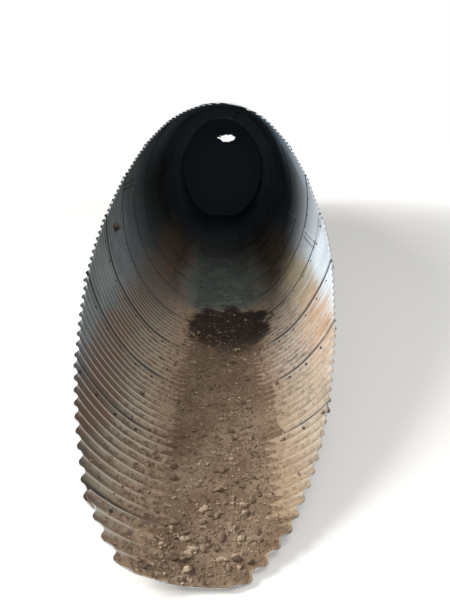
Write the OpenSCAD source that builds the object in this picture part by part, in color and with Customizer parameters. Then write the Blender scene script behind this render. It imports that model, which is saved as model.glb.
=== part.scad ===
// Mitred end of a riveted, annularly corrugated steel culvert pipe.
// Millimetres. +Y runs into the barrel, +Z is up, +X is to the right of someone facing the mouth.
// The origin lies on the square rear end of the barrel, on the wall at its lowest point.

/* [Section] */
// clear width between the inside crests, less than the height because the bank squeezes the pipe
clear_span = 1652; // [1500:1:1760]
// clear height between the inside crests
clear_rise = 2004; // [1900:1:2120]

/* [Corrugated sheet] */
// distance from one corrugation to the next
pitch = 67.73; // [60:0.01:76]
// depth of the corrugation, from inside crest to inside valley
depth = 12.7; // [8:0.1:18]
// thickness of the galvanised sheet
sheet_t = 3.5; // [2:0.1:5]
// corrugations shown by one ring of sheets
ring_waves = 9; // [7:1:10]
// corrugations hidden where one ring laps over the next
lap_waves = 1; // [1:1:2]
// width of the lengthwise laps, in degrees round the wall
side_lap = 4; // [3:0.1:6]
// clearance between sheets that lie on each other
seat_gap = 0.3; // [0.2:0.05:0.6]

/* [Laps round the section, in degrees clockwise from the crown] */
// right-hand lap of the rings made of a crown sheet and an invert sheet
low_lap = 102; // [96:1:110]
// upper lap of the rings made of a left sheet and a right sheet
high_lap = 17; // [12:1:24]

/* [Mitre cut] */
// run of the cut for each unit of height
mitre_run = 2.31; // [2.2:0.01:2.4]
// run of the cut for each unit of width, because the bank crosses the pipe at a skew
skew_run = 0.47; // [0.4:0.01:0.52]
// rings between the coupling joint and the point where the cut crosses the middle of the barrel
mitre_rings = 5.566; // [5.5:0.001:5.62]

/* [Coupling band] */
// corrugations that the band holds on each pipe end
band_waves = 3; // [2:1:4]
// open gap between the two pipe ends, in corrugations
joint_waves = 1; // [1:1:2]
// thickness of the band
band_t = 2.8; // [2:0.1:5]
// how far each bolting lug stands out from the band
lug_reach = 62; // [50:1:90]
// thickness of each bolting lug
lug_t = 9; // [5:0.5:14]
// gap between the facing lugs
lug_gap = 26; // [16:1:40]
// diameter of the bolt holes in the lugs
lug_bore = 17; // [12:0.5:22]

/* [Hidden] */
$fn = 144;
mitred_rings = 10;                      // rings between the mouth and the coupling joint
far_rings = 6;                          // whole rings beyond the joint
steps = 8;                              // chords that draw one corrugation
ring_len = pitch * ring_waves;
lap_len = pitch * lap_waves;
joint_gap = pitch * joint_waves;
far_y = -ring_len * far_rings;          // front end of the far length
joint_y = far_y - joint_gap;            // rear end of the mitred length
mitre_y = joint_y - mitre_rings * ring_len; // where the cut crosses the middle of the barrel
centre_z = (clear_rise + sheet_t) / 2;

// Each ring is two sheets, each moved half a step along the line of its laps, so that every sheet
// ends outside its partner on one side and inside it on the other. A ring stepped out by ring_step
// clears both sheets of the ring below it, whatever way round their laps are.
side_step = sheet_t + seat_gap;
ring_step = 1.55 * side_step;
band_step = 1.5 * side_step;

// The section is a four-centred oval: two flat side arcs and two tighter end arcs. They meet where
// the radius runs 4 across and 3 up, so centres and radii are short decimals and meet exactly.
meet = round(atan2(4, 3) * 100) / 100;
spread = round((clear_rise - clear_span) / 2 / 0.4 / 0.05) * 0.05;
side_x = 4 / 5 * spread;                // how far a side arc's centre lies past the middle
end_z = 3 / 5 * spread;                 // how far an end arc's centre lies from the middle
side_r = clear_span / 2 + side_x;
end_r = side_r - spread;

// Each arc: first and last angle, clockwise from the crown, then radius, centre x and centre z.
ARCS = [[meet - 180, -meet, side_r, side_x, 0], [-meet, meet, end_r, 0, end_z],
        [meet, 180 - meet, side_r, -side_x, 0], [180 - meet, 180 + meet, end_r, 0, -end_z],
        [180 + meet, 360 - meet, side_r, side_x, 0], [360 - meet, 360 + meet, end_r, 0, end_z]];

function hundredth(x) = round(x * 100) / 100;
function wave(y) = depth / 2 * (1 - cos(360 * y / pitch));
function ease(s) = let (c = min(1, max(0, s))) c * c * (3 - 2 * c);
function step_out(y, step) = step * (1 - ease((y - lap_len) / pitch));

// Stations along a profile: its two ends, and the corners of the chords between them.
function stations(len) =
    concat([0], [for (i = [0 : len / pitch * steps - 0.9]) (i + 0.5) * pitch / steps], [len]);

// A strip of corrugated wall as a profile. x is the distance from the arc's centre, and y counts
// back from the barrel's rear end. "out" is how far the strip lies outside the nominal wall, and
// its front is stepped out by "step" to lie on the ring before it.
module wall(r, y0, len, t, out, step) {
    ys = stations(len);
    n = len(ys);
    inner = [for (y = ys) r + hundredth(out + wave(y) + step_out(y, step))];
    polygon(concat([for (i = [0 : n - 1]) [inner[i], -y0 - ys[i]]],
                   [for (i = [n - 1 : -1 : 0]) [inner[i] + t, -y0 - ys[i]]]));
}

// That wall carried round the oval from angle a0 to angle a1.
module round_the_oval(a0, a1, y0, len, t, out = 0, step = 0) {
    for (arc = ARCS) {
        b0 = max(a0, arc[0]);
        b1 = min(a1, arc[1]);
        if (b1 - b0 > 0.01)
            translate([arc[3], 0, centre_z + arc[4]])
                rotate([90, 0, 0])
                    rotate_extrude(start = 90 - b1, angle = b1 - b0)
                        wall(arc[2], y0, len, t, out, step);
    }
}

// Everything above the slope of the bank.
module above_the_slope() {
    big = 16000;
    translate([0, mitre_y, centre_z])
        rotate([-atan2(mitre_run, sqrt(1 + skew_run * skew_run)), 0, atan(skew_run)])
            translate([-big / 2, -big, -big / 2]) cube([big, big, big]);
}

// The first ring is cut short: its lip is trimmed square at the last whole corrugation that the
// mitre leaves, because a cut run out to a point would leave loose slivers of the corrugation.
mitre_reach = norm([mitre_run * clear_rise / 2, skew_run * clear_span / 2]);
second_y = joint_y - (mitred_rings - 1) * ring_len;
first_waves = floor((second_y - mitre_y + mitre_reach) / pitch - 0.4);

// Rings are counted from the mouth. Where a ring starts, what it shows, and whether it is mitred:
function ring_y(n) = n == 1 ? second_y - first_waves * pitch
                   : n <= mitred_rings ? joint_y - (mitred_rings + 1 - n) * ring_len
                   : far_y + (n - mitred_rings - 1) * ring_len;
function ring_shows(n) = n == 1 ? first_waves * pitch : ring_len;
function is_mitred(n) = n < mitred_rings;

// The mitre reaches farthest back near the angle "split". At the rear end of ring n it takes away
// everything within this many degrees of it, so the sheets there are drawn only beyond.
// Whole degrees keep the ends of neighbouring arcs on exactly the same plane.
split = 10;
function bite(n) = max(0, floor(acos(min(1, (ring_y(n + 1) + lap_len - mitre_y) / mitre_reach)) - 12));

// One sheet of ring n, from angle a0 to angle a1, moved along the line of its laps at angle "lap".
// Its rear end runs on under the next ring, except at a pipe end.
module sheet(n, a0, a1, lap, side) {
    starts_pipe = n == 1 || n == mitred_rings + 1;
    ends_pipe = n == mitred_rings || n == mitred_rings + far_rings;
    cut = is_mitred(n) ? bite(n) : 0;
    b0 = cut > 0 ? max(a0, split + cut) : a0;
    b1 = cut > 0 ? min(a1, split + 360 - cut) : a1;
    difference() {
        translate([sin(lap) * side * side_step / 2, 0, cos(lap) * side * side_step / 2])
            round_the_oval(b0, b1, ring_y(n), ring_shows(n) + (ends_pipe ? 0 : lap_len), sheet_t,
                           0, starts_pipe ? 0 : ring_step);
        if (is_mitred(n)) above_the_slope();
    }
}

half_lap = side_lap / 2;
module crown_sheet(n) color("gainsboro") sheet(n, low_lap - 180 - half_lap, low_lap + half_lap, low_lap, 1);
module invert_sheet(n) color("rosybrown") sheet(n, low_lap - half_lap, low_lap + 180 + half_lap, low_lap, -1);
module right_sheet(n) color("lightsteelblue") sheet(n, high_lap - half_lap, high_lap + 180 + half_lap, high_lap, -1);
module left_sheet(n) color("slategray") sheet(n, high_lap + 180 - half_lap, high_lap + 360 + half_lap, high_lap, 1);

// Where the mitre cuts right through a crown sheet, what is left of it is two shoulders.
module left_shoulder(n) color("darkgray") sheet(n, low_lap + 180 - half_lap, split + 360, low_lap, 1);
module right_shoulder(n) color("silver") sheet(n, split, low_lap + half_lap, low_lap, 1);

// Half of the coupling band, over the gap between the two pipe ends. "up" is 1 above and -1 below.
band_y = joint_y - band_waves * pitch;
band_len = joint_gap + 2 * band_waves * pitch;
module band_half(up) {
    end = hundredth(90 - asin((lug_gap + lug_t) / 2 / side_r));
    foot = clear_span / 2 + band_step + depth + band_t / 2;
    middle = up > 0 ? 0 : 180;
    difference() {
        union() {
            round_the_oval(middle - end, middle + end, band_y, band_len, band_t, band_step);
            for (side = [-1, 1])
                translate([side > 0 ? foot : -foot - lug_reach, band_y,
                           centre_z + (up > 0 ? lug_gap / 2 : -lug_gap / 2 - lug_t)])
                    cube([lug_reach, band_len, lug_t]);
        }
        for (side = [-1, 1], i = [1 : 2 : 2 * band_waves + joint_waves - 1])
            translate([side * (foot + lug_reach * 0.6), band_y + (i + 0.5) * pitch, centre_z])
                cylinder(d = lug_bore, h = 2 * (lug_gap + lug_t) + 2, center = true);
    }
}
module upper_band() color("dimgray") band_half(1);
module lower_band() color("dimgray") band_half(-1);

left_sheet(1);  // left_sheet_01
right_sheet(1);  // right_sheet_01
invert_sheet(2);  // invert_sheet_02
left_sheet(3);  // left_sheet_03
right_sheet(3);  // right_sheet_03
invert_sheet(4);  // invert_sheet_04
left_sheet(5);  // left_sheet_05
right_sheet(5);  // right_sheet_05
invert_sheet(6);  // invert_sheet_06
left_shoulder(6);  // left_shoulder_06
right_shoulder(6);  // right_shoulder_06
left_sheet(7);  // left_sheet_07
right_sheet(7);  // right_sheet_07
invert_sheet(8);  // invert_sheet_08
left_shoulder(8);  // left_shoulder_08
right_shoulder(8);  // right_shoulder_08
left_sheet(9);  // left_sheet_09
right_sheet(9);  // right_sheet_09
crown_sheet(10);  // crown_sheet_10
invert_sheet(10);  // invert_sheet_10
upper_band();
lower_band();
left_sheet(11);  // left_sheet_11
right_sheet(11);  // right_sheet_11
crown_sheet(12);  // crown_sheet_12
invert_sheet(12);  // invert_sheet_12
left_sheet(13);  // left_sheet_13
right_sheet(13);  // right_sheet_13
crown_sheet(14);  // crown_sheet_14
invert_sheet(14);  // invert_sheet_14
left_sheet(15);  // left_sheet_15
right_sheet(15);  // right_sheet_15
crown_sheet(16);  // crown_sheet_16
invert_sheet(16);  // invert_sheet_16
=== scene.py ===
# %% [markdown]
# # Mitred end of a corrugated steel culvert
# This lesson dresses the end of a riveted corrugated pipe that was cut off along the slope of a bank.
# The construction model comes in first and stays fixed. Every piece made here is laid on it, in metres.

# %% Load the frame
import math
import random

import bmesh
import bpy
from mathutils import Matrix, Vector, noise


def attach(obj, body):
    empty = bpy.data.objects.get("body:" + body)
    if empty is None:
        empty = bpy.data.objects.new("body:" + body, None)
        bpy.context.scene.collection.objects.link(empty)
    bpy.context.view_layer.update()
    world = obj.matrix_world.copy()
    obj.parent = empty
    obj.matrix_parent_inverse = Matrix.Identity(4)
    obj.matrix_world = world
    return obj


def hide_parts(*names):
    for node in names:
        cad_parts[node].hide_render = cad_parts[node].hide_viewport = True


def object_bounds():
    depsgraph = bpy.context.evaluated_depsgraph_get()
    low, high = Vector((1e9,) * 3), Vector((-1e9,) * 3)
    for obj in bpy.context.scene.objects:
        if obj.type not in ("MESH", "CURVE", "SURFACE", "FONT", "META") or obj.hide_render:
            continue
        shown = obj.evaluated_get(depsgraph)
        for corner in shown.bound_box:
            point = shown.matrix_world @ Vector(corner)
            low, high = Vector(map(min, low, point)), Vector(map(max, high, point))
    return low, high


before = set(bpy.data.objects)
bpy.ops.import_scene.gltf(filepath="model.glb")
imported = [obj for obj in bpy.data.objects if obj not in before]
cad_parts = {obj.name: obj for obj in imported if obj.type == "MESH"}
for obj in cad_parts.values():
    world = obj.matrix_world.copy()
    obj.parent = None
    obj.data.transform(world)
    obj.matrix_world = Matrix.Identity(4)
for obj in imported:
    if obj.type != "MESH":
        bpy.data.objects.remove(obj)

cad_low, cad_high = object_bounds()
print("construction model:", len(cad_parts), "solids, from", tuple(cad_low), "to", tuple(cad_high))

# %% [markdown]
# ## The numbers of the pipe
# The sheets are known by a few numbers: the corrugation, the length of a ring, and the oval section.
# They repeat the construction model's values, so that a new skin lies exactly where its solid is.

# %% Numbers of the corrugated sheet
MM = 0.001
PITCH, DEPTH, SHEET_T = 67.73 * MM, 12.7 * MM, 3.5 * MM
WAVES = 9                               # corrugations that one ring shows
RING = WAVES * PITCH
LAP = PITCH                             # one more is hidden under the next ring
SHEET_FIT = 0.3 * MM                    # lapped sheets are this far apart at their tightest
SIDE_STEP = SHEET_T + SHEET_FIT         # a sheet lies this far outside the one it laps
RING_STEP = 1.55 * SIDE_STEP            # a ring's front lies this far outside the ring before it
LAST_MITRED, LAST_RING = 10, 16         # rings are counted from the mouth
FAR_Y = -(LAST_RING - LAST_MITRED) * RING   # front of the far length
JOINT_Y = FAR_Y - PITCH                 # rear of the mitred length
FIRST_WAVES = 3                         # whole corrugations that the mitre leaves of the first ring
CENTRE_Z = 1003.75 * MM
HALF_WIDE, HALF_HIGH = 826 * MM, 1002 * MM
IN_SHEET = 1.5 * MM                     # what sticks to the wall ends this deep in the sheet

# %% Numbers of the oval section
# The section is four arcs. Angles are in degrees, clockwise from the crown as seen from the mouth.
MEET = 53.13
SIDE_X, END_Z, SIDE_R, END_R = 352 * MM, 264 * MM, 1178 * MM, 738 * MM
ARCS = []
for turn in (-360, 0, 360):
    ARCS += [(turn - MEET, turn + MEET, END_R, 0.0, CENTRE_Z + END_Z),
             (turn + MEET, turn + 180 - MEET, SIDE_R, -SIDE_X, CENTRE_Z),
             (turn + 180 - MEET, turn + 180 + MEET, END_R, 0.0, CENTRE_Z - END_Z),
             (turn + 180 + MEET, turn + 360 - MEET, SIDE_R, SIDE_X, CENTRE_Z)]


def ring_front(ring):
    """Where a ring of sheets starts, along the barrel. The first is trimmed to whole corrugations."""
    if ring == 1:
        return ring_front(2) - FIRST_WAVES * PITCH
    if ring <= LAST_MITRED:
        return JOINT_Y - (LAST_MITRED + 1 - ring) * RING
    return FAR_Y + (ring - LAST_MITRED - 1) * RING


def ease(s):
    """A smooth step from 0 to 1."""
    s = min(1.0, max(0.0, s))
    return s * s * (3 - 2 * s)


def wave(y):
    """How far the wall lies outside its inner crests."""
    return DEPTH / 2 * (1 - math.cos(math.tau * y / PITCH))


def on_wall(angle, y, out):
    """The point at a clock angle, a place along the barrel and a distance outside the inner crests,
    and the direction that points out of the pipe there."""
    radius, cx, cz = next((r, x, z) for a, b, r, x, z in ARCS if a <= angle <= b)
    away = Vector((math.sin(math.radians(angle)), 0, math.cos(math.radians(angle))))
    return Vector((cx, y, cz)) + away * (radius + out), away


def kept_inside(point, radius, cx, cz):
    """A point near one arc of the wall, brought back into the sheet if it lies outside the pipe."""
    spoke = Vector((point.x - cx, 0, point.z - cz))
    return point - spoke.normalized() * max(0.0, spoke.length - radius - wave(point.y) - IN_SHEET)


print("mouth ring starts at y =", round(ring_front(1), 3), "and the joint is at", round(JOINT_Y, 3))

# %% [markdown]
# ## The mitre
# The barrel was cut along the slope of the bank, which also crosses the pipe at a skew. One slanting plane
# does that: whatever lies in front of it and above it is gone. A signed distance tells the sides apart.

# %% Plane of the mitre cut
MITRE_RUN, SKEW_RUN = 2.31, 0.47        # along the barrel for one up, and for one across
MITRE_RINGS = 5.566                     # rings between the joint and the cut, at mid-height
MITRE_Y = JOINT_Y - MITRE_RINGS * RING
CUT_TRIM = 0.01 * MM                    # points this near the cut are laid on it
mitre_point = Vector((0, MITRE_Y, CENTRE_Z))
mitre_kept = Vector((-SKEW_RUN, 1, -MITRE_RUN)).normalized()


def behind_mitre(point):
    """Distance behind the cut. It is negative where the pipe has been cut away."""
    return (point - mitre_point).dot(mitre_kept)


print("the cut leans", round(math.degrees(math.atan(1 / MITRE_RUN)), 1), "degrees from the barrel")


# %% [markdown]
# ## Camera
# The camera goes where the photograph was taken from. Fitting the ellipse of the mouth, the seams and the
# vanishing point of the ridges gives its place, its tilt and its focal length.

# %% Camera of the photograph
LENS_MM, TILT, TURN = 29.80, 17.94, 0.20
EYE = (0.019, -10.871, 1.621)
camera_data = bpy.data.cameras.new("photo_camera")
camera_data.lens = LENS_MM
camera = bpy.data.objects.new("photo_camera", camera_data)
camera.location = EYE
camera.rotation_euler = (math.radians(90 - TILT), 0, math.radians(-TURN))
bpy.context.scene.collection.objects.link(camera)
bpy.context.scene.camera = camera
bpy.context.scene.view_settings.view_transform = "Standard"
print("camera", round(ring_front(1) - EYE[1], 2), "m in front of the lip, tilted down", TILT, "degrees")

# %% [markdown]
# ## Helpers for finishes
# Colours are written as sRGB hex codes and turned to linear values in one place. One small function adds
# a node, sets it and links it, and every finish below is built with it. A finish starts with an empty tree
# and ends in its surface shader.


# %% Colour and node helpers
def linear(code):
    """An sRGB hex colour as linear red, green, blue and alpha."""
    parts = [int(code[i:i + 2], 16) / 255 for i in (1, 3, 5)]
    return tuple(c / 12.92 if c <= 0.04045 else ((c + 0.055) / 1.055) ** 2.4 for c in parts) + (1.0,)


def add(tree, kind, inputs=None, **settings):
    """Adds one node. inputs maps a socket's name or number to a value, or to the socket that feeds it."""
    node = tree.nodes.new(kind)
    for name, value in settings.items():
        setattr(node, name, value)
    for key, value in (inputs or {}).items():
        if isinstance(value, bpy.types.NodeSocket):
            tree.links.new(value, node.inputs[key])
        else:
            node.inputs[key].default_value = value
    return node.outputs


def grain(mark):
    """The scale of a pattern whose marks are so many millimetres across."""
    return 1000 / mark


def summed(tree, base, *parts):
    """A value with others added to it, each times its own factor."""
    for value, factor in parts:
        base = add(tree, "ShaderNodeMath", {0: value, 1: factor, 2: base}, operation="MULTIPLY_ADD")[0]
    return base


def start_finish(name):
    """A new material and its empty node tree."""
    material = bpy.data.materials.new(name)
    material.use_nodes = True
    material.node_tree.nodes.clear()
    return material, material.node_tree


def end_finish(tree, height, depth, amount, inputs):
    """The shader that a finish ends in, bumped by a height over so many millimetres."""
    bump = add(tree, "ShaderNodeBump", {"Strength": amount, "Distance": depth * MM, "Height": height})[0]
    shader = add(tree, "ShaderNodeBsdfPrincipled", {**inputs, "Normal": bump})[0]
    add(tree, "ShaderNodeOutputMaterial", {0: shader})


# %% [markdown]
# ## Reading a place on the wall
# Stains follow the clock angle round the pipe and the distance along it. Object coordinates are enough for
# both, because every piece keeps its place in its mesh: the angle is an arctangent, and the ridges are a
# cosine of the distance. These five values are made once in each finish that needs them. A stain is then
# laid over what is there, as strongly as several such values together allow.


# %% Wall coordinates as nodes
def wall_places(tree):
    """Sockets for the point, the signed angle from the crown in degrees, its size, the distance along the
    barrel in rings from the first seam of the photograph, and the ridge, which is 1 on inner crests."""
    point = add(tree, "ShaderNodeTexCoord")["Object"]
    axes = add(tree, "ShaderNodeSeparateXYZ", {0: point})
    across = add(tree, "ShaderNodeMath", {0: axes[0], 1: HALF_WIDE}, operation="DIVIDE")[0]
    above = add(tree, "ShaderNodeMath", {0: axes[2], 1: CENTRE_Z}, operation="SUBTRACT")[0]
    above = add(tree, "ShaderNodeMath", {0: above, 1: HALF_HIGH}, operation="DIVIDE")[0]
    angle = add(tree, "ShaderNodeMath", {0: across, 1: above}, operation="ARCTAN2")[0]
    angle = add(tree, "ShaderNodeMath", {0: angle, 1: 180 / math.pi}, operation="MULTIPLY")[0]
    size = add(tree, "ShaderNodeMath", {0: angle}, operation="ABSOLUTE")[0]
    beyond = add(tree, "ShaderNodeMath", {0: axes[1], 1: FAR_Y - PITCH / 2}, operation="GREATER_THAN")[0]
    rear = summed(tree, axes[1], (beyond, -PITCH))
    along = summed(tree, -ring_front(4) / RING, (rear, 1 / RING))
    phase = add(tree, "ShaderNodeMath", {0: axes[1], 1: math.tau / PITCH}, operation="MULTIPLY")[0]
    ridge = add(tree, "ShaderNodeMath", {0: phase}, operation="COSINE")[0]
    ridge = summed(tree, 0.5, (ridge, 0.5))
    return point, angle, size, along, ridge


def strength(tree, *parts):
    """How strongly a stain shows: its parts multiplied. A part is a number, a socket, or a value with two
    marks between which it rises smoothly from 0 to 1, or from one given amount to another."""
    total = None
    for part in parts:
        if isinstance(part, tuple):
            value, low, high, start, end = part if len(part) == 5 else part + (0.0, 1.0)
            part = add(tree, "ShaderNodeMapRange", {0: value, 1: low, 2: high, 3: start, 4: end},
                       interpolation_type="SMOOTHSTEP")[0]
        total = part if total is None else add(tree, "ShaderNodeMath", {0: total, 1: part},
                                               operation="MULTIPLY")[0]
    return total


def stained(tree, base, *stains):
    """A base colour with stains laid over it in turn. Each stain is a colour and the parts of its strength,
    and colours are hex codes or sockets."""
    for stain, *parts in stains:
        base, stain = [linear(c) if isinstance(c, str) else c for c in (base, stain)]
        base = add(tree, "ShaderNodeMix", {0: strength(tree, *parts), 6: base, 7: stain},
                   data_type="RGBA")[2]
    return base


WET_X, WET_Y, WET_WIDE, WET_LONG = 0.06, -6.78, 0.34, 0.56


def wet_patch(tree, point):
    """The ragged wet patch in the invert. It is soft towards the mouth and crisp at its far rim."""
    ragged = add(tree, "ShaderNodeTexNoise",
                 {"Vector": point, "Scale": grain(181.8), "Detail": 7.0, "Roughness": 0.68})[0]
    spot = add(tree, "ShaderNodeMapping", {0: point, 1: (-WET_X / WET_WIDE, -WET_Y / WET_LONG, 0),
                                           3: (1 / WET_WIDE, 1 / WET_LONG, 0)})[0]
    spot = add(tree, "ShaderNodeVectorMath", {0: spot}, operation="LENGTH")["Value"]
    spot = summed(tree, spot, (ragged, 1.7))
    depth = add(tree, "ShaderNodeSeparateXYZ", {0: point})[1]
    return strength(tree, (spot, 1.99, 1.72), (depth, -7.5, -6.95, 0.3, 1.0))


# %% [markdown]
# ## Weathered galvanised steel, from inside
# Real sheet is mild steel with a coat of zinc, hot-dipped and then rolled. Old zinc is blue-grey and nearly
# matt. At the water line it is used up and the steel rusts orange, below that it is brown and scoured, with
# the crests of the ridges rubbed bright, and earth has dried in the valleys. The stains are laid on in the
# order in which they came. Their edges are broken up with noise, so that no line is ruled. Light and shade
# are painted in as well: a sheen and a lit strip on the upper right wall, highlights on the crests, shade in
# the valleys and at the seams, and shade that deepens farther into the barrel.

# %% Finish: weathered galvanised sheet
inside_finish, tree = start_finish("weathered_galvanised_sheet")
point, angle, size, along, ridge = wall_places(tree)
cloud, fine, flecks_at, blotch = [
    add(tree, "ShaderNodeTexNoise",
        {"Vector": point, "Scale": grain(mark), "Detail": detail, "Roughness": rough})[0]
    for mark, detail, rough in ((384.6, 5.0, 0.62), (18.18, 4.0, 0.7), (41.67, 6.0, 0.8), (111.1, 6.0, 0.65))]
stretch = add(tree, "ShaderNodeMapping", {0: point, 3: (grain(200), grain(45.45), grain(200))})[0]
runs = add(tree, "ShaderNodeTexNoise",
           {"Vector": stretch, "Scale": 1.0, "Detail": 4.0, "Roughness": 0.6})[0]
spangle = add(tree, "ShaderNodeTexVoronoi", {"Vector": point, "Scale": grain(14.29)})["Color"]
spangle = add(tree, "ShaderNodeSeparateXYZ", {0: spangle})[0]
right = strength(tree, (angle, -20, 20))
cut = add(tree, "ShaderNodeVectorMath", {0: point, 1: tuple(mitre_kept)}, operation="DOT_PRODUCT")["Value"]
cut = add(tree, "ShaderNodeMath", {0: cut, 1: mitre_point.dot(mitre_kept)}, operation="SUBTRACT")[0]

# the zinc: blue-grey with darker clouds, a little spangle and pale runs, and painted shade farther in
zinc = stained(
    tree, "#646c6e", ("#828b8d", (cloud, 0.32, 0.68)),
    ("#9ba4a6", (runs, 0.5, 0.75), 0.4),
    ("#5a646b", spangle, 0.14))
# painted highlight: the upper right wall is painted paler and bluer, a sheen from the open sky
painted_sheen = strength(tree, right, (size, 30, 75), (along, 5.6, 4.4), (cloud, 0.25, 0.6, 0.7, 1.0))
# painted shade: the zinc darkens farther into the barrel, a little sooner on the left
zinc = stained(
    tree, zinc, ("#2c3133", (along, 1.2, 2.4), (right, 1, 0), 0.25),
    ("#c8d1d8", painted_sheen))
# painted light: a pale bluish strip along the upper right cut, where the painted shade is also held back
rim = strength(tree, right, (cut, 0.34, 0.06), (size, 8, 35), (size, 92, 66))
zinc = stained(
    tree, zinc, ("#bccbdc", rim, 0.5),
    ("#2c3133", (along, 1.4, 4.9, 0.0, 0.85), (rim, 0.0, 1.0, 1.0, 0.45)))

# the water line: rust where the zinc is used up, lower on the left than on the right
wander = summed(tree, -11.0, (cloud, 22.0), (runs, 14.0))
level = summed(tree, wander, (right, 3.0))
level = add(tree, "ShaderNodeMath", {0: size, 1: level}, operation="ADD")[0]
spread = summed(tree, along, (runs, 1.6))
rust = stained(
    tree, "#5f5543", ("#b8a48d", right),
    (stained(tree, "#75604a", ("#9c7b62", right)), (fine, 0.45, 0.75, 0.0, 0.6)),
    ("#8b563d", (cloud, 0.52, 0.6), (runs, 0.4, 0.62), 0.7),
    ("#b08a67", right, (spread, 0.4, 1.2), (runs, 0.3, 0.6, 0.2, 0.7)))
tan = stained(tree, "#6e6450", ("#96886a", right))
# painted shade: the rust darkens farther in, on the left sooner
rust = stained(
    tree, rust, (tan, (spread, 1.9, 2.7)),
    ("#3f3628", (along, 0.6, 1.9), (right, 1, 0), 0.85),
    ("#4a3c2d", (spread, 3.4, 4.8)))
wall = stained(tree, zinc, (rust, (level, 118, 134), (runs, 0.2, 0.6, 0.75, 1.0)))

# below it: brown and scoured, with earth and flecks of dirt in the valleys
# painted light: the lower left wall near the mouth is lighter, where the sky falls on it
scoured = stained(
    tree, "#a79d87", ("#b3a391", right),
    ("#b9ae98", (along, 0.2, -1.2), (right, 0, 1, 0.9, 0.2)),
    (stained(tree, "#8d8470", ("#8d7d7a", right)), (cloud, 0.4, 0.65), 0.5),
    ("#6d5845", (fine, 0.45, 0.7), 0.6),
    ("#5d4c3b", (ridge, 0.4, 0.05), (right, 0, 1, 0.6, 0.25)))
flecks = strength(tree, (flecks_at, 0.51, 0.58), (ridge, 0.95, 0.55))
# painted shade: the scoured wall darkens farther in, more on the left
scoured = stained(
    tree, scoured, ("#43332a", flecks, 0.85),
    ("#b3a48e", (flecks_at, 0.42, 0.36), 0.5),
    ("#4d4135", (along, 0.6, 2.2), (right, 0, 1, 0.7, 0.45)),
    ("#352b21", (along, 1.8, 3.8)))
wall = stained(tree, wall, (scoured, (level, 136, 150)))
rusty = strength(tree, (blotch, 0.51, 0.63), (level, 122, 134), (right, 0, 1, 0.7, 0.28),
                 (flecks_at, 0.36, 0.55, 0.35, 1.0))
wall = stained(tree, wall, (stained(tree, "#7d543d", ("#b08768", right)), rusty))
belt = strength(tree, (right, 1, 0), (level, 121, 128), (level, 143, 134), (blotch, 0.4, 0.5, 0.35, 1.0),
                (along, 1.0, 0.3))
wall = stained(
    tree, wall, ("#6a4a3b", belt, 0.7),
    ("#645746", (blotch, 0.47, 0.36), (level, 124, 140), 0.5))

# crests are rubbed bright along a thin line, more clearly on the left; the line is also a painted highlight,
# and the valleys get painted shade
rubbed_and_highlit = strength(tree, (ridge, 0.88, 0.98), (right, 0, 1, 0.85, 0.22), (fine, 0.3, 0.5, 0.5, 1.0),
                  (along, 4.5, 0.8))
wall = stained(tree, wall, (stained(tree, "#b9c1c2", ("#d6c9b8", (level, 120, 138))), rubbed_and_highlit))
shaded = strength(tree, (ridge, 0.45, 0.1), (right, 0, 1, 0.35, 0.15))
wall = stained(tree, wall, ("#454640", shaded))
shaded = strength(tree, (right, 1, 0), (level, 118, 130), (size, 148, 136), (ridge, 0.85, 0.5), 0.3)
wall = stained(tree, wall, ("#4a4037", shaded))

# beside the cut the torch and the grinder left the crests bare and bright, and a painted glint adds to them
bared_and_glinting = strength(tree, (cut, 26 * MM, 8 * MM), (ridge, 0.5, 0.85), (size, 135, 95, 0.2, 1.0))
wall = stained(tree, wall, ("#d9dee0", bared_and_glinting))

# earth washed down from the bank has dried near the bed, and farther in grey-green silt takes over;
# the silt is darkened deeper in with painted shade
dried = summed(tree, size, (flecks, 4.0), (ridge, -9.0), (wander, 0.6))
earth = stained(
    tree, "#a1876e", ("#80664f", (fine, 0.4, 0.65)),
    ("#4a392b", (flecks_at, 0.52, 0.57), 0.8),
    ("#b5a184", (flecks_at, 0.43, 0.38), 0.7))
wall = stained(
    tree, wall, (earth, (dried, 143, 158)),
    ("#8f7a58", right, (along, 0.3, -0.3), (size, 128, 138), 0.4))
silt = stained(
    tree, "#474d47", ("#5f655d", (fine, 0.35, 0.65)),
    ("#262825", (along, 5.0, 7.6, 0.0, 0.7)))
wall = stained(tree, wall, (silt, (level, 150, 166), (along, 2.4, 3.2)))
damp = wet_patch(tree, point)
# besides the wet patch, painted light: the right wall farther in, the deep rings and the upper walls are
# paler and bluer
wall = stained(
    tree, wall, (stained(tree, "#1e1610", ("#2e2219", (blotch, 0.45, 0.6))), damp),
    ("#5f7488", right, (along, 4.9, 6.2), (size, 138, 112), 0.5),
    ("#5c6e80", (along, 6.8, 9.5, 0.0, 0.75)),
    ("#7b90a2", (size, 80, 45), (along, 3.0, 5.2), 0.6))

# dark specks and scuffs, and the black line of dirt and painted shadow where each ring slips out
# from under the last
specks = strength(tree, (fine, 0.66, 0.74), (cloud, 0.45, 0.6))
wall = stained(tree, wall, ("#3b342c", specks, 0.7))
turn = add(tree, "ShaderNodeMath", {0: along}, operation="FRACT")[0]
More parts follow.
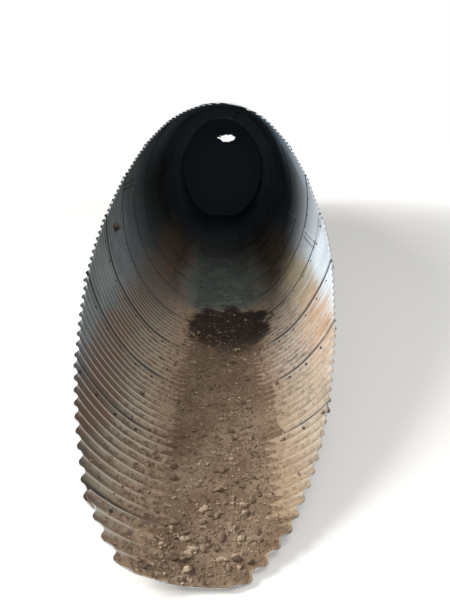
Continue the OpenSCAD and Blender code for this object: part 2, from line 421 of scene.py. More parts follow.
# the painted shadow of every second seam reaches a little farther, on the left and on the right in turn
half = add(tree, "ShaderNodeMath", {0: along, 1: 0.5}, operation="MULTIPLY")[0]
half = add(tree, "ShaderNodeMath", {0: half}, operation="FRACT")[0]
odd = add(tree, "ShaderNodeMath", {0: half, 1: 0.5}, operation="GREATER_THAN")[0]
deeper = add(tree, "ShaderNodeMath", {0: right, 1: odd}, operation="ADD")[0]
deeper = add(tree, "ShaderNodeMath", {0: deeper, 1: 1.0}, operation="SUBTRACT")[0]
deeper = add(tree, "ShaderNodeMath", {0: deeper}, operation="ABSOLUTE")[0]
reach = add(tree, "ShaderNodeMath", {0: turn, 1: strength(tree, (along, -1.0, 1.0, 0.024, 0.0))},
            operation="ADD")[0]
deeper = strength(tree, deeper, (along, -1.6, 0.1, 0.0, -0.011))
reach = add(tree, "ShaderNodeMath", {0: reach, 1: deeper}, operation="ADD")[0]
seam = strength(tree, (turn, 0.106, 0.112), (reach, 0.203, 0.19), (size, 162, 145),
                (runs, 0.3, 0.5, 0.65, 1.0))
wall = stained(tree, wall, ("#151615", seam, 0.93))
clean = strength(tree, (level, 118, 130, 0.5, 0.0))
dull = summed(tree, 0.34, (fine, 0.5))
gloss = strength(tree, (damp, 0.0, 1.0, 0.5, 0.2))
relief = summed(tree, cloud, (fine, 1.0))
end_finish(tree, relief, 2.5, 0.35, {"Base Color": wall, "Metallic": clean, "Roughness": dull,
                                     "Specular IOR Level": gloss})

# %% [markdown]
# ## The same sheet from outside, and its cut edge
# The outside lay in wet earth: dull zinc with clods and brown stains, and rust where water stood. The edge
# was cut with a torch, so it is bare, rough and a little bright where stones have rubbed it.

# %% Finish: earth-stained outside of the sheet
outside_finish, tree = start_finish("earth_stained_galvanised_sheet")
point, _, size, _, ridge = wall_places(tree)
cloud = add(tree, "ShaderNodeTexNoise",
            {"Vector": point, "Scale": grain(294.1), "Detail": 6.0, "Roughness": 0.65})[0]
clods = add(tree, "ShaderNodeTexNoise",
            {"Vector": point, "Scale": grain(41.67), "Detail": 5.0, "Roughness": 0.7})[0]
zinc = stained(
    tree, "#717a80", ("#8f989c", (cloud, 0.3, 0.7)),
    ("#adb5b8", (ridge, 0.25, 0.0), 0.35))
low = strength(tree, (size, 60, 170))
stain = summed(tree, cloud, (low, 0.22))
soiled = stained(tree, zinc, ("#7d6f5e", (stain, 0.5, 0.68)))
valleys = summed(tree, clods, (ridge, 0.2), (low, 0.1))
caked = strength(tree, (valleys, 0.66, 0.74))
soiled = stained(tree, soiled, ("#6b563f", caked))
rusty = strength(tree, (cloud, 0.6, 0.7), (clods, 0.45, 0.6))
soiled = stained(tree, soiled, ("#8b5a3a", rusty, 0.8))
end_finish(tree, caked, 4, 0.5, {"Base Color": soiled,
                                 "Metallic": strength(tree, (stain, 0.68, 0.5, 0.0, 0.5)),
                                 "Roughness": strength(tree, (valleys, 0.5, 0.75, 0.5, 0.95))})

# %% Finish: torch-cut edge
edge_finish, tree = start_finish("torch_cut_edge")
point, _, size, along, ridge = wall_places(tree)
burr = add(tree, "ShaderNodeTexNoise", {"Vector": point, "Scale": grain(11.11), "Detail": 3.0})[0]
patch = add(tree, "ShaderNodeTexNoise", {"Vector": point, "Scale": grain(111.1), "Detail": 4.0})[0]
# darker across the valleys, and darkened farther in with painted shade
bare = stained(
    tree, "#b9bec0", ("#eceff0", (burr, 0.35, 0.65)),
    ("#5c5f5e", (ridge, 0.6, 0.2)),
    ("#86705f", (patch, 0.5, 0.62), (size, 90, 150), 0.6),
    ("#27282a", (along, 5.6, 6.6)))
end_finish(tree, burr, 1, 0.6, {"Base Color": bare, "Metallic": 0.1, "Roughness": 0.5})

# %% [markdown]
# ## One corrugated sheet
# A sheet is a wavy line carried round part of the oval. Spin does just that: the line is drawn once as a
# chain of points and spun about the centre of each arc in turn. The mitre is one bisect, and a solidify
# gives the sheet its thickness. A hand-made grid would need all the arithmetic of the oval again.


# %% Spin a corrugated strip
def corrugated_strip(first, last, front, length, out, step, chords, degrees):
    """An open corrugated surface from one clock angle to another. Its front edge is stepped out."""
    arcs = [(max(first, a), min(last, b), r, x, z) for a, b, r, x, z in ARCS
            if min(last, b) - max(first, a) > 0.01]
    count = round(length / PITCH * chords)
    bm = bmesh.new()
    chain = []
    start, _, radius, cx, cz = arcs[0]
    away = Vector((math.sin(math.radians(start)), 0, math.cos(math.radians(start))))
    for i in range(count + 1):
        y = i * length / count
        stepped = step * (1 - ease((y - LAP) / PITCH))
        chain.append(bm.verts.new(Vector((cx, front + y, cz)) + away * (radius + out + wave(y) + stepped)))
    line = chain + [bm.edges.new(pair) for pair in zip(chain, chain[1:])]
    for a, b, radius, cx, cz in arcs:
        line = bmesh.ops.spin(bm, geom=line, cent=(cx, 0, cz), axis=(0, 1, 0), angle=math.radians(b - a),
                              steps=max(1, round((b - a) / degrees)))["geom_last"]
    bmesh.ops.recalc_face_normals(bm, faces=bm.faces)
    if bm.faces[0].normal.dot(away) < 0:
        bmesh.ops.reverse_faces(bm, faces=bm.faces)
    return bm


strip = corrugated_strip(0, 90, 0, PITCH, 0, 0, 8, 3)
print("test strip runs to x =", round(max(v.co.x for v in strip.verts), 4), "in", len(strip.faces), "faces")
strip.free()

# %% [markdown]
# ## Years in the bank
# Earth has pushed the wall about. One smooth field of dents moves every sheet in the same way, so that
# sheets that lie on each other keep their clearance. Beside the right-hand edge the wall has sprung out.


# %% Dents and the sprung edge
DENT_DEEP, SPRUNG_OUT, SPRUNG_BAND = 9 * MM, 14 * MM, 300 * MM


def pushed(point):
    """How far the wall is moved at a point. Dents only go inwards, so the pipe keeps its outer size."""
    inwards = Vector((-point.x, 0, CENTRE_Z - point.z)).normalized()
    dent = noise.noise(Vector((point.x * 1.1, point.y * 0.9 + 3, point.z * 1.1)))
    hollow = DENT_DEEP * ease(dent * 1.6 + 0.3)
    edge = ease(1 - behind_mitre(point) / SPRUNG_BAND) if point.x > 0 else 0.0
    edge *= ease((point.x - 0.55) / 0.2) * ease((-6.72 - point.y) / 0.10) * ease((point.y + 7.9) / 0.9)
    return inwards * (hollow - SPRUNG_OUT * edge)


# %% [markdown]
# ## Turning a strip into a finished piece
# Every piece ends in the same way: the bmesh becomes an object at the origin, its faces get their finishes,
# shading is smooth except at real corners, and the piece rides on the fixed model.


# %% Finish a piece
def finished(bm, name, finishes, smooth=40):
    """Makes the object of a bmesh, smooth but for edges sharper than the angle given in degrees."""
    mesh = bpy.data.meshes.new(name)
    for face in bm.faces:
        face.smooth = True
    bm.to_mesh(mesh)
    bm.free()
    for finish in finishes:
        mesh.materials.append(finish)
    mesh.set_sharp_from_angle(angle=math.radians(smooth))
    piece = bpy.data.objects.new(name, mesh)
    bpy.context.scene.collection.objects.link(piece)
    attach(piece, "root")
    return piece


def thickened(bm, thickness):
    """Gives an open sheet its thickness, outwards, and sorts its faces into inside, outside and edge."""
    bmesh.ops.solidify(bm, geom=bm.faces[:], thickness=-thickness)
    bmesh.ops.recalc_face_normals(bm, faces=bm.faces)
    for face in bm.faces:
        middle = face.calc_center_median()
        outwards = Vector((middle.x, 0, middle.z - CENTRE_Z)).normalized()
        facing = face.normal.dot(outwards)
        face.material_index = 0 if facing < -0.5 else 1 if facing > 0.5 else 2


BURR = 1.3 * MM


def burred(bm):
    """Swells the cut edge a little where it crosses a crest, as slag and hammering leave it."""
    for face in bm.faces:
        if face.material_index != 2 or face.normal.dot(mitre_kept) > -0.6:
            continue
        middle = face.calc_center_median()
        outwards = Vector((middle.x, 0, middle.z - CENTRE_Z)).normalized()
        for vert in face.verts:
            crest = 0.5 + 0.5 * math.cos(math.tau * vert.co.y / PITCH)
            side = 1 if (vert.co - middle).dot(outwards) > 0 else -1
            vert.co += outwards * side * BURR * ease((crest - 0.3) / 0.5)


# %% [markdown]
# ## The rings of sheets
# Each ring is two sheets. Even rings have a crown sheet and an invert sheet, odd rings a left and a right
# one, so that the lengthwise laps are staggered like the joints of brickwork. Each sheet is moved half a
# sheet's thickness along its line of laps, which puts it outside its partner on one side and inside it on
# the other. Where the mitre cuts through a crown sheet, two shoulders are left.

# %% Angles of the sheets
LOW_LAP, HIGH_LAP, HALF_LAP, SPLIT = 102, 17, 2, 10
SHEETS = {"crown_sheet": (LOW_LAP - 180 - HALF_LAP, LOW_LAP + HALF_LAP, LOW_LAP, 1),
          "invert_sheet": (LOW_LAP - HALF_LAP, LOW_LAP + 180 + HALF_LAP, LOW_LAP, -1),
          "right_sheet": (HIGH_LAP - HALF_LAP, HIGH_LAP + 180 + HALF_LAP, HIGH_LAP, -1),
          "left_sheet": (HIGH_LAP + 180 - HALF_LAP, HIGH_LAP + 360 + HALF_LAP, HIGH_LAP, 1),
          "left_shoulder": (LOW_LAP + 180 - HALF_LAP, SPLIT + 360, LOW_LAP, 1),
          "right_shoulder": (SPLIT, LOW_LAP + HALF_LAP, LOW_LAP, 1)}

# %% Make every sheet
NEAR_CHORDS, FAR_CHORDS = 10, 8         # chords in one corrugation
ARC_STEP = 3                            # degrees in one step of the spin
faces_made = 0
for node in sorted(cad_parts):
    kind, _, number = node.rpartition("_")
    if kind not in SHEETS:
        continue
    ring = int(number)
    first, last, lap, side = SHEETS[kind]
    starts_pipe, ends_pipe = ring in (1, LAST_MITRED + 1), ring in (LAST_MITRED, LAST_RING)
    shows = FIRST_WAVES * PITCH if ring == 1 else RING
    length = shows + (0 if ends_pipe else LAP)
    bm = corrugated_strip(first, last, ring_front(ring), length, 0, 0 if starts_pipe else RING_STEP,
                          NEAR_CHORDS if ring <= LAST_MITRED else FAR_CHORDS, ARC_STEP)
    shift = Vector((math.sin(math.radians(lap)), 0, math.cos(math.radians(lap)))) * side * SIDE_STEP / 2
    bmesh.ops.translate(bm, verts=bm.verts, vec=shift)
    if ring < LAST_MITRED:
        bmesh.ops.bisect_plane(bm, geom=bm.verts[:] + bm.edges[:] + bm.faces[:], dist=CUT_TRIM,
                               plane_co=mitre_point, plane_no=mitre_kept, clear_inner=True)
    for vert in bm.verts:
        vert.co += pushed(vert.co)
    thickened(bm, SHEET_T)
    for vert in bm.verts:
        vert.co.y = min(max(vert.co.y, ring_front(ring)), ring_front(ring) + length)
        vert.co.z = min(max(vert.co.z, cad_low.z), cad_high.z)
    if ring < LAST_MITRED:
        burred(bm)
    faces_made += len(bm.faces)
    piece = finished(bm, "rolled_" + node, (inside_finish, outside_finish, edge_finish))
    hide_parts(node)
print("sheets made with", faces_made, "faces in all")

# %% [markdown]
# ## Rivets
# A rivet has a low round head on both sides of the sheets it holds. One low sphere with its halves pulled
# apart gives both heads and the shank between them. Rivets sit in the lap round the pipe, a hand's breadth
# and a half apart, and in two lines down each lengthwise lap, one pair on every ridge.

# %% Finish: driven rivet
rivet_finish, tree = start_finish("driven_steel_rivet")
point, _, size, _, _ = wall_places(tree)
bite = add(tree, "ShaderNodeTexNoise", {"Vector": point, "Scale": grain(16.67), "Detail": 3.0})[0]
patch = add(tree, "ShaderNodeTexNoise", {"Vector": point, "Scale": grain(250), "Detail": 3.0})[0]
metal = stained(
    tree, "#3c3b38", ("#403833", (patch, 0.42, 0.58)),
    ("#2e2620", (bite, 0.5, 0.7)),
    ("#6d5947", (size, 148, 158)))
end_finish(tree, bite, 0.6, 0.4, {"Base Color": metal, "Metallic": 0.35, "Roughness": 0.6})

# %% Shape of one rivet
HEAD_R, HEAD_H = 9.5 * MM, 3.9 * MM
bm = bmesh.new()
bmesh.ops.create_uvsphere(bm, u_segments=8, v_segments=6, radius=HEAD_R)
for vert in bm.verts:
    half = 1 if vert.co.z > 0.1 * MM else -1
    vert.co.z = half * (SHEET_T + RING_STEP / 2) + vert.co.z / HEAD_R * HEAD_H
rivet_mesh = bpy.data.meshes.new("rivet")
bm.to_mesh(rivet_mesh)
bm.free()

# %% Where the rivets go
ON_ARC, ON_SLOPE = 10, 0.66 * PITCH     # rivets on each arc, and how far behind a ring's front they sit
LINE_OFF, RIVET_EDGE = 1.1, 25 * MM     # degrees from a lengthwise lap to its lines, and clear of the cut
rivet_places = []
for ring in range(2, LAST_RING + 1):
    if ring == LAST_MITRED + 1:
        continue
    for first, last, _, _, _ in ARCS[4:8]:
        for k in range(ON_ARC):
            rivet_places.append((first + (k + 0.5) / ON_ARC * (last - first), ring_front(ring) + ON_SLOPE))
for ring in range(1, LAST_RING + 1):
    lap = HIGH_LAP if ring % 2 else LOW_LAP
    ridges = FIRST_WAVES if ring == 1 else WAVES
    for angle in (lap - LINE_OFF, lap + LINE_OFF, lap + 180 - LINE_OFF, lap + 180 + LINE_OFF):
        rivet_places += [(angle, ring_front(ring) + k * PITCH) for k in range(1, ridges)]
print("places for rivets:", len(rivet_places))

# %% Set the rivets
bm = bmesh.new()
count = 0
for angle, y in rivet_places:
    place, away = on_wall(angle % 360, y, wave(y) + SHEET_T)
    if behind_mitre(place) < RIVET_EDGE:
        continue
    place += pushed(place)
    lean = away - Vector((0, math.pi * DEPTH / PITCH * math.sin(math.tau * y / PITCH), 0))
    turned = Matrix.Translation(place) @ lean.to_track_quat("Z", "Y").to_matrix().to_4x4()
    rivet_mesh.transform(turned)
    bm.from_mesh(rivet_mesh)
    rivet_mesh.transform(turned.inverted())
    count += 1
for vert in bm.verts:
    vert.co.z = min(max(vert.co.z, cad_low.z), cad_high.z)
finished(bm, "seam_rivets", (rivet_finish,), smooth=60)
print("rivets set:", count)

# %% [markdown]
# ## The coupling band
# The two lengths of pipe meet with a small gap, and a band in two halves, rolled with the same ridges,
# clamps them from outside. Its halves are drawn together by bolts through flat lugs. The band is spun as a
# sheet is. Each lug is a bevelled block, and each bolt has a bevelled hexagon head, washers and a nut.

# %% Finish: coupling band
band_finish, tree = start_finish("dull_galvanised_band")
point, _, size, _, _ = wall_places(tree)
cloud = add(tree, "ShaderNodeTexNoise",
            {"Vector": point, "Scale": grain(222.2), "Detail": 6.0, "Roughness": 0.65})[0]
grit = add(tree, "ShaderNodeTexNoise",
           {"Vector": point, "Scale": grain(25), "Detail": 4.0, "Roughness": 0.7})[0]
metal = stained(
    tree, "#5f6567", ("#7c8385", (cloud, 0.3, 0.7)),
    ("#5d4f40", (grit, 0.52, 0.68)),
    ("#75563f", (cloud, 0.52, 0.62), (size, 30, 150)))
end_finish(tree, grit, 2, 0.4, {"Base Color": metal, "Metallic": 0.35,
                                "Roughness": strength(tree, (grit, 0.3, 0.7, 0.45, 0.8))})

# %% Numbers of the band
BAND_T, BAND_OUT = 2.8 * MM, 1.5 * SIDE_STEP
BAND_Y, BAND_LENGTH = JOINT_Y - 3 * PITCH, 7 * PITCH
LUG_REACH, LUG_T, LUG_GAP, LUG_BEVEL = 62 * MM, 9 * MM, 26 * MM, 1.5 * MM
BAND_END = 90 - math.degrees(math.asin((LUG_GAP + LUG_T) / 2 / SIDE_R))
LUG_FOOT = HALF_WIDE + BAND_OUT + DEPTH + BAND_T / 2
BOLT_X = LUG_FOOT + 0.6 * LUG_REACH


def turned_block(bm, middle, radius, height, sides, bevel):
    """A bevelled upright prism of so many sides, such as a bolt head or a washer."""
    made = bmesh.ops.create_cone(bm, cap_ends=True, segments=sides, radius1=radius, radius2=radius,
                                 depth=height)
    bmesh.ops.translate(bm, verts=made["verts"], vec=middle)
    rims = [e for e in {e for v in made["verts"] for e in v.link_edges} if len(e.link_faces) == 2
            and any(len(f.verts) == sides for f in e.link_faces)]
    bmesh.ops.bevel(bm, geom=rims, offset=bevel, segments=2, profile=0.5, affect="EDGES", material=-1)


# %% Make the band halves
for name, up in (("upper_band", 1), ("lower_band", -1)):
    centre = 0 if up > 0 else 180
    bm = corrugated_strip(centre - BAND_END, centre + BAND_END, BAND_Y, BAND_LENGTH, BAND_OUT, 0,
                          NEAR_CHORDS, ARC_STEP)
    thickened(bm, BAND_T)
    for side in (-1, 1):
        made = bmesh.ops.create_cube(bm, size=1)
        bmesh.ops.scale(bm, verts=made["verts"], vec=(LUG_REACH, BAND_LENGTH, LUG_T))
        middle = (side * (LUG_FOOT + LUG_REACH / 2), BAND_Y + BAND_LENGTH / 2,
                  CENTRE_Z + up * (LUG_GAP + LUG_T) / 2)
        bmesh.ops.translate(bm, verts=made["verts"], vec=middle)
        edges = list({e for v in made["verts"] for e in v.link_edges})
        bmesh.ops.bevel(bm, geom=edges, offset=LUG_BEVEL, segments=2, profile=0.5, affect="EDGES",
                        material=-1)
    piece = finished(bm, "ribbed_" + name, (band_finish, band_finish, band_finish))
    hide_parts(name)

# %% Make the band bolts
WASHER_R, WASHER_T, HEX_R, HEAD_T, NUT_T = 15 * MM, 3 * MM, 13.8 * MM, 10 * MM, 13 * MM
SHANK_R, TAIL = 8 * MM, 22 * MM
bm = bmesh.new()
face = LUG_GAP / 2 + LUG_T
for side in (-1, 1):
    for k in (1, 3, 5):
        for height, radius, thick, sides, bevel in (
                (face + WASHER_T / 2, WASHER_R, WASHER_T, 20, 0.5 * MM),
                (face + WASHER_T + HEAD_T / 2, HEX_R, HEAD_T, 6, 1.2 * MM),
                (-7 * MM, SHANK_R, 2 * face + TAIL, 16, 1 * MM),
                (-face - WASHER_T / 2, WASHER_R, WASHER_T, 20, 0.5 * MM),
                (-face - WASHER_T - NUT_T / 2, HEX_R, NUT_T, 6, 1.2 * MM)):
            turned_block(bm, (side * BOLT_X, BAND_Y + (k + 0.5) * PITCH, CENTRE_Z + height),
                         radius, thick, sides, bevel)
finished(bm, "band_bolts", (rivet_finish,), smooth=35)
print("coupling band from y =", round(BAND_Y, 3), "with 6 bolts")

# %% [markdown]
# ## The bed of silt
# Years of run-off have left a thin bed of silt and gravel in the invert, deepest in the middle and running
# out into the valleys at its sides, so that the ridges comb through its edge. It starts as a flat grid,
# which an extrude turns into a slab. The top is then lifted and the underside pressed into the corrugation,
# and the plane of the mitre trims its front as it trims the sheets. The cut is closed with new faces.

# %% Finish: silt and gravel
bed_finish, tree = start_finish("river_silt_and_gravel")
point, _, size, along, _ = wall_places(tree)
cloud, grit, straw = [
    add(tree, "ShaderNodeTexNoise",
        {"Vector": point, "Scale": grain(mark), "Detail": detail, "Roughness": rough})[0]
    for mark, detail, rough in ((312.5, 5.0, 0.6), (23.81, 5.0, 0.75), (41.67, 6.0, 0.8))]
warp = add(tree, "ShaderNodeTexNoise", {"Vector": point, "Scale": grain(33.33), "Detail": 3.0})["Color"]
warp = add(tree, "ShaderNodeVectorMath",
           {0: warp, 1: (0.02, 0.02, 0.02), 2: point}, operation="MULTIPLY_ADD")[0]
stones = add(tree, "ShaderNodeTexVoronoi", {"Vector": warp, "Scale": grain(18.18)})
tint = add(tree, "ShaderNodeSeparateXYZ", {0: stones["Color"]})[0]
bulge = strength(tree, (stones["Distance"], 0.5, 0.1))
earth = stained(
    tree, "#765f4a", ("#937e68", (cloud, 0.35, 0.65)),
    ("#564232", (grit, 0.42, 0.7)))
earth = stained(tree, earth, ("#b09c7e", (straw, 0.6, 0.68), 0.75))
pebble = stained(tree, "#67503d", ("#b8a286", (tint, 0.62, 1.0)))
pebbly = strength(tree, (tint, 0.55, 0.64), bulge, (cloud, 0.35, 0.6, 0.35, 0.85))
earth = stained(tree, earth, (pebble, pebbly))
inner = stained(
    tree, "#474d47", ("#5f655d", (grit, 0.35, 0.65)),
    ("#868a7f", (cloud, 0.48, 0.62), (straw, 0.4, 0.6), 0.5))
edge = summed(tree, along, (straw, 1.2))
earth = stained(
    tree, earth, (inner, (edge, 3.3, 3.45), (size, 148, 160)),
    ("#8d8a7b", (edge, 3.22, 3.32), (edge, 3.5, 3.4), (size, 150, 160), 0.6))
streaks = add(tree, "ShaderNodeMapping", {0: point, 3: (grain(142.9), grain(38.46), grain(142.9))})[0]
streaks = add(tree, "ShaderNodeTexNoise",
              {"Vector": streaks, "Scale": 1.0, "Detail": 5.0, "Roughness": 0.7})[0]
# dark streaks at the silt's front; farther in painted shade darkens the bed, and deeper still it is paler and
# bluer with painted light
earth = stained(
    tree, earth, ("#1f221d", (streaks, 0.53, 0.58), (straw, 0.42, 0.52), (edge, 3.2, 3.6), 0.8),
    ("#262825", (edge, 5.5, 8.0, 0.0, 0.7)),
    ("#758391", (edge, 7.5, 10.5, 0.0, 0.75)))
damp = wet_patch(tree, point)
earth = stained(tree, earth, (stained(tree, "#1e1610", ("#3a2920", (streaks, 0.42, 0.6))), damp))
relief = summed(tree, grit, (bulge, 0.6))
end_finish(tree, relief, 6, 0.8, {"Base Color": earth,
                                  "Roughness": strength(tree, (damp, 0.0, 1.0, 0.95, 0.7)),
                                  "Specular IOR Level": strength(tree, (damp, 0.0, 1.0, 0.5, 0.2))})

# %% Shape of the bed
BED_COLUMNS, BED_ROWS = 24, 830
BED_HALF = 27                           # half its width, in degrees at the invert's own centre
BED_RISE, SILT_RISE, SIDE_SINK = 30 * MM, 14 * MM, 17 * MM
SCOUR_DEEP, SWEPT = 12 * MM, 90 * MM    # the hole's depth, and the strip beside the cut that is swept bare
SCOUR_X, SCOUR_Y, SCOUR_WIDE, SCOUR_LONG = 0.05, -6.80, 0.33, 0.50
FRONT_GAP, REAR_GAP, BED_TRIM = 2 * MM, 1.5 * MM, 3 * MM


def bed_half(y):
    """Half the width of the bed, in degrees at the invert's own centre."""
    return (BED_HALF + 3 * noise.noise(Vector((0, y * 2.2, 4)))
            + 2.5 * noise.noise(Vector((5, y * 7, 4))))


def hollow_at(x, y):
    """The scour hole: 1 in its middle, 0 outside its ragged rim."""
    rim = (0.22 * noise.noise(Vector((x * 6, y * 6, 3)))
           + math.hypot((x - SCOUR_X) / SCOUR_WIDE, (y - SCOUR_Y) / SCOUR_LONG))
    return ease((1.06 - rim) / 0.22)


def behind_edge(across, y):
    """Distance along the barrel from the lip or the cut to a place on the inner crests."""
    place, _ = on_wall(180 - across * bed_half(y), y, 0)
    return min(y - ring_front(1), behind_mitre(place) / mitre_kept.y)


def bed_top(across, y):
    """How far outside the inner crests the bed's top lies: inside them in the middle, in the valleys at its
    sides, and within the sheet beside the cut, where the wall is swept bare."""
    edge, side = behind_edge(across, y), abs(across)
    x = END_R * math.sin(math.radians(across * bed_half(y)))
    middle = (BED_RISE * ease((y - ring_front(1) + 0.02) / 0.9) * ease(edge / 0.3)
              + SILT_RISE * ease((y + 6.3) / 0.15))
    swell = (6 * MM * noise.noise(Vector((x * 3.5, y * 2.5, 0)))
             + 4 * MM * noise.noise(Vector((x * 17, y * 15, 7))))
    shape = middle * (1 - ease(side / 0.85)) - SIDE_SINK * ease((side - 0.62) / 0.38)
    out = -shape - swell * (1 - 0.5 * side) + SCOUR_DEEP * hollow_at(x, y) * (1 - side)
    swept = wave(y) + 1 * MM
    return min(out + (1 - ease(edge / SWEPT)) * max(0.0, swept - out), swept)


# %% Make the bed
bm = bmesh.new()
bmesh.ops.create_grid(bm, x_segments=BED_COLUMNS, y_segments=BED_ROWS, size=1)
made = bmesh.ops.extrude_face_region(bm, geom=bm.faces[:], use_keep_orig=True)
under = {item for item in made["geom"] if isinstance(item, bmesh.types.BMVert)}
front = ring_front(1) + FRONT_GAP
for vert in bm.verts:
    across, down = vert.co.x, (vert.co.y + 1) / 2
    y = front + down * (-REAR_GAP - front)
    out = wave(y) + IN_SHEET if vert in under else bed_top(across, y)
    vert.co, _ = on_wall(180 - across * bed_half(y), y, out)
    vert.co += pushed(vert.co)
cut_edges = bmesh.ops.bisect_plane(bm, geom=bm.verts[:] + bm.edges[:] + bm.faces[:], dist=CUT_TRIM,
                                   plane_co=mitre_point + mitre_kept * BED_TRIM, plane_no=mitre_kept,
                                   clear_inner=True)["geom_cut"]
bmesh.ops.holes_fill(bm, edges=[e for e in cut_edges if isinstance(e, bmesh.types.BMEdge)], sides=0)
print("open edges of the bed:", sum(edge.is_boundary for edge in bm.edges))
bmesh.ops.recalc_face_normals(bm, faces=bm.faces)
bed = finished(bm, "silt_bed", (bed_finish,), smooth=45)
print("silt bed:", len(bed.data.polygons), "faces")

# %% [markdown]
# ## Loose stones
# Stones lie on the bed and have rolled down the wall near the mouth. Each is a low icosphere pushed out of
# shape, half sunk in what it lies on. A fixed seed makes every run draw the same stones.

# %% Finish: loose stone
stone_finish, tree = start_finish("loose_field_stone")
point = add(tree, "ShaderNodeTexCoord")["Object"]
cloud = add(tree, "ShaderNodeTexVoronoi", {"Vector": point, "Scale": grain(31.25)})["Color"]
cloud = add(tree, "ShaderNodeSeparateXYZ", {0: cloud})[0]
speckle = add(tree, "ShaderNodeTexNoise", {"Vector": point, "Scale": grain(6.25), "Detail": 3.0})[0]
stone = stained(
    tree, "#5d4a3a", ("#8d7862", (cloud, 0.1, 0.6)),
    ("#bda88d", (cloud, 0.7, 0.95)),
    ("#574637", (speckle, 0.45, 0.7, 0.0, 0.7)))
end_finish(tree, speckle, 1, 0.5, {"Base Color": stone, "Roughness": 0.9})

# %% Scatter the stones
STONES, HEAPS, IN_HEAPS = 2600, 60, 0.75
STONES_FRONT, STONES_REAR = -9.3, -6.4
STONE_EDGE, STONE_SUNK = 20 * MM, 0.2   # clear of the cut, and the share of its radius that is sunk
random.seed(7)
bm = bmesh.new()
stone_mesh = bpy.data.meshes.new("stone")
count = 0
heaps = [(random.gauss(0, 0.5), STONES_FRONT + 2.4 * random.random() ** 1.8) for _ in range(HEAPS)]
while count < STONES:
    in_heap = random.random() < IN_HEAPS
    middle, y = random.choice(heaps) if in_heap else (0.0, random.uniform(STONES_FRONT, STONES_REAR))
    across, y = middle + random.gauss(0, 0.22 if middle else 0.6), y + random.gauss(0, 0.12)
    radius = (2.5 + 5 * random.random() ** 2 + 14 * random.random() ** 12) * MM
    if not ring_front(1) < y < -0.1 or abs(across) > 1.9:
        continue
    ground = min(bed_top(across, y), wave(y)) if abs(across) < 0.97 else wave(y)
    place, _ = on_wall(180 - across * bed_half(y), y, ground - radius * STONE_SUNK)
    if behind_mitre(place) < STONE_EDGE:
        continue
    single = bmesh.new()
    bmesh.ops.create_icosphere(single, subdivisions=2 if radius > 7 * MM else 1, radius=radius)
    for vert in single.verts:
        vert.co *= 1 + 0.45 * noise.noise(vert.co / radius * 0.9 + Vector((count, 0, 0)))
    turned = Matrix.Rotation(random.random() * 6.28, 4, "Z") @ Matrix.Diagonal((1.25, 0.95, 0.65, 1))
    bmesh.ops.transform(single, verts=single.verts, matrix=Matrix.Translation(place) @ turned)
    for vert in single.verts:
        vert.co = kept_inside(vert.co, END_R, 0.0, CENTRE_Z - END_Z) + pushed(place)
    single.to_mesh(stone_mesh)
    single.free()
    bm.from_mesh(stone_mesh)
    count += 1
finished(bm, "loose_stones", (stone_finish,), smooth=50)
print("stones laid:", count)

# %% [markdown]
# ## A clod of mud
# One clod of dried mud sticks to the left wall, at half its height. Its lower side has a dark hollow.

# %% Finish: dried mud
mud_finish, tree = start_finish("dried_mud")
point = add(tree, "ShaderNodeTexCoord")["Object"]
lumps = add(tree, "ShaderNodeTexNoise",
            {"Vector": point, "Scale": grain(14.29), "Detail": 4.0, "Roughness": 0.7})[0]
mud = stained(tree, "#3a342e", ("#6f645a", (lumps, 0.38, 0.62)))
end_finish(tree, lumps, 4, 0.7, {"Base Color": mud, "Roughness": 0.95})

# %% Make the mud clod
CLOD_ANGLE, CLOD_Y, CLOD_HALF = 268.2, -7.03, (46 * MM, 58 * MM, 38 * MM)
bm = bmesh.new()
bmesh.ops.create_icosphere(bm, subdivisions=4, radius=1)
hollow_way = Vector((0.35, -0.65, -0.68)).normalized()
for vert in bm.verts:
    sunk = 0.85 * ease((vert.co.dot(hollow_way) - 0.45) / 0.25)
    vert.co *= (1 + 0.35 * noise.noise(vert.co * 2.1)) * (1 - sunk)
place, _ = on_wall(CLOD_ANGLE, CLOD_Y, wave(CLOD_Y))
bmesh.ops.scale(bm, verts=bm.verts, vec=CLOD_HALF)
bmesh.ops.translate(bm, verts=bm.verts, vec=place)
for vert in bm.verts:
    vert.co = kept_inside(vert.co, SIDE_R, SIDE_X, CENTRE_Z) + pushed(place)
clod = finished(bm, "mud_clod", (mud_finish,), smooth=70)
print("mud clod:", len(clod.data.polygons), "faces")

# %% [markdown]
# ## Floor, a card of painted shade, and light
# The floor is plain and pale. The real barrel runs on into the dark for many more rings, so a dark card
# stands against its far end as painted shade for the rings beyond, glowing faintly as painted light. It keeps
# out light from behind; seen from behind, it is clear. The light is soft: a broad lamp above and to the left,
# where the open sky is, and a weaker one in front. Two faint lamps stand for what light reaches the deep
# part of the barrel. A ragged gap in the card shows a spot of daylight, as the real barrel's far mouth does.

# %% Floor
FLOOR_HALF, FLOOR_Y = 200, -5
floor_finish, tree = start_finish("pale_studio_floor")
reach = add(tree, "ShaderNodeMapping",
            {0: add(tree, "ShaderNodeTexCoord")["Object"], 1: (0, -FLOOR_Y, 0)})[0]
reach = add(tree, "ShaderNodeVectorMath", {0: reach}, operation="LENGTH")["Value"]
glow = strength(tree, add(tree, "ShaderNodeLightPath")["Is Camera Ray"], (reach, 4.0, 14.0, 0.3, 1.0))
shader = add(tree, "ShaderNodeBsdfPrincipled",
             {"Base Color": linear("#e6e4e0"), "Roughness": 0.9, "Emission Color": linear("#f4f3f0"),
              "Emission Strength": glow})[0]
add(tree, "ShaderNodeOutputMaterial", {0: shader})
bm = bmesh.new()
bmesh.ops.create_grid(bm, x_segments=1, y_segments=1, size=FLOOR_HALF)
bmesh.ops.translate(bm, verts=bm.verts, vec=(0, FLOOR_Y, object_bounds()[0].z))
mesh = bpy.data.meshes.new("studio_floor")
bm.to_mesh(mesh)
bm.free()
mesh.materials.append(floor_finish)
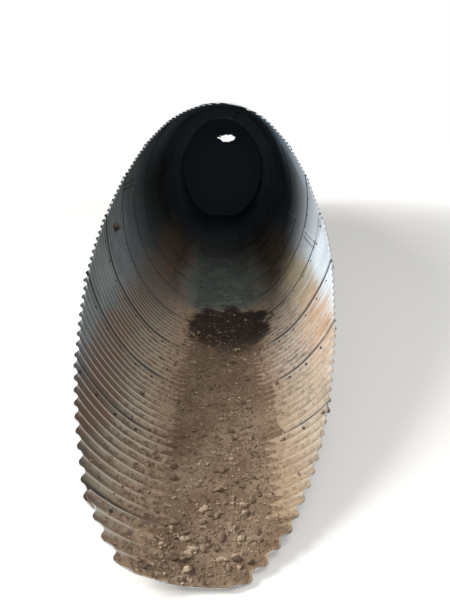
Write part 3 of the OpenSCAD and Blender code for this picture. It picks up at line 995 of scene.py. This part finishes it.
floor = bpy.data.objects.new("studio_floor", mesh)
bpy.context.scene.collection.objects.link(floor)

# %% Dark card of painted shade, with its spot of daylight
SPOT_X, SPOT_Z, SPOT_WIDE, SPOT_HIGH = 0.10, 1.64, 0.19, 0.075
shade_card_finish, tree = start_finish("far_end_painted_shade_card")
point = add(tree, "ShaderNodeTexCoord")["Object"]
from_axis = add(tree, "ShaderNodeMapping", {0: point, 1: (0, 0, -CENTRE_Z)})[0]
from_axis = add(tree, "ShaderNodeVectorMath", {0: from_axis}, operation="LENGTH")["Value"]
# painted shade: a near-black card, glowing faintly as painted light, dimmer towards its rim
shader = add(tree, "ShaderNodeBsdfPrincipled",
             {"Base Color": linear("#0a0b0c"), "Roughness": 1.0, "Specular IOR Level": 0.0,
              "Emission Color": linear("#0d1216"),
              "Emission Strength": strength(tree, (from_axis, 0.5, 0.95, 1.0, 0.8))})[0]
behind = add(tree, "ShaderNodeNewGeometry")["Backfacing"]
seen = add(tree, "ShaderNodeLightPath")["Is Camera Ray"]
clear = add(tree, "ShaderNodeBsdfTransparent")[0]
ragged = add(tree, "ShaderNodeTexNoise", {"Vector": point, "Scale": grain(71.43), "Detail": 2.0})[0]
ragged = add(tree, "ShaderNodeMath", {0: ragged, 1: 0.9}, operation="MULTIPLY")[0]
spot = add(tree, "ShaderNodeMapping", {0: point, 1: (-SPOT_X / SPOT_WIDE, 0, -SPOT_Z / SPOT_HIGH),
                                       3: (1 / SPOT_WIDE, 0, 1 / SPOT_HIGH)})[0]
spot = add(tree, "ShaderNodeVectorMath", {0: spot}, operation="LENGTH")["Value"]
spot = add(tree, "ShaderNodeMath", {0: spot, 1: ragged}, operation="ADD")[0]
spot = add(tree, "ShaderNodeMath", {0: spot, 1: 1.35}, operation="LESS_THAN")[0]
open_part = add(tree, "ShaderNodeMath", {0: strength(tree, behind, seen), 1: spot}, operation="MAXIMUM")[0]
shown = add(tree, "ShaderNodeMixShader", {0: open_part, 1: shader, 2: clear})[0]
add(tree, "ShaderNodeOutputMaterial", {0: shown})
bm = bmesh.new()
bmesh.ops.create_circle(bm, cap_ends=True, segments=120, radius=1)
for vert in bm.verts:
    vert.co, _ = on_wall(math.degrees(math.atan2(vert.co.x, vert.co.y)) % 360, 1 * MM, 8 * MM)
mesh = bpy.data.meshes.new("far_end_painted_shade_card")
bm.to_mesh(mesh)
bm.free()
mesh.materials.append(shade_card_finish)
backdrop = bpy.data.objects.new("far_end_painted_shade_card", mesh)
bpy.context.scene.collection.objects.link(backdrop)
print("backdrop faces", tuple(mesh.polygons[0].normal))

# %% Light
world = bpy.data.worlds.new("studio")
bpy.context.scene.world = world
world.use_nodes = True
tree = world.node_tree
tree.nodes.clear()
seen = add(tree, "ShaderNodeLightPath")
direct = add(tree, "ShaderNodeMath",
             {0: seen["Is Camera Ray"], 1: seen["Is Glossy Ray"]}, operation="MAXIMUM")[0]
direct = add(tree, "ShaderNodeMath", {0: direct, 1: seen["Is Transmission Ray"]}, operation="MAXIMUM")[0]
direct = add(tree, "ShaderNodeMapRange", {0: direct, 3: 0.25, 4: 1.0})[0]
sky = add(tree, "ShaderNodeBackground", {"Color": linear("#ffffff"), "Strength": direct})[0]
add(tree, "ShaderNodeOutputWorld", {0: sky})

# name, place, target, size in metres, watts, spread in degrees
for name, place, target, size, power, spread in (
        ("sky_lamp", (-8.0, -6.8, 5.8), (0.7, -7.0, 0.8), 4.5, 1420, 180),
        ("front_lamp", (2.0, -12.0, 9.5), (-0.2, -8.0, 0.3), 5.5, 340, 180),
        ("far_mouth_lamp", (0.0, -0.06, 1.2), (0.0, -4.0, 1.0), 1.2, 0.5, 70),
        ("barrel_lamp", (0.0, -9.6, 1.15), (0.0, 0.0, 0.9), 0.8, 1.7, 12)):
    lamp_data = bpy.data.lights.new(name, "AREA")
    lamp_data.size, lamp_data.energy, lamp_data.spread = size, power, math.radians(spread)
    lamp = bpy.data.objects.new(name, lamp_data)
    lamp.location = place
    lamp.rotation_euler = (Vector(target) - Vector(place)).to_track_quat("-Z", "Y").to_euler()
    lamp.visible_camera = False
    bpy.context.scene.collection.objects.link(lamp)
print("lamps:", len(bpy.data.lights))

# %% Update the scene
bpy.context.view_layer.update()
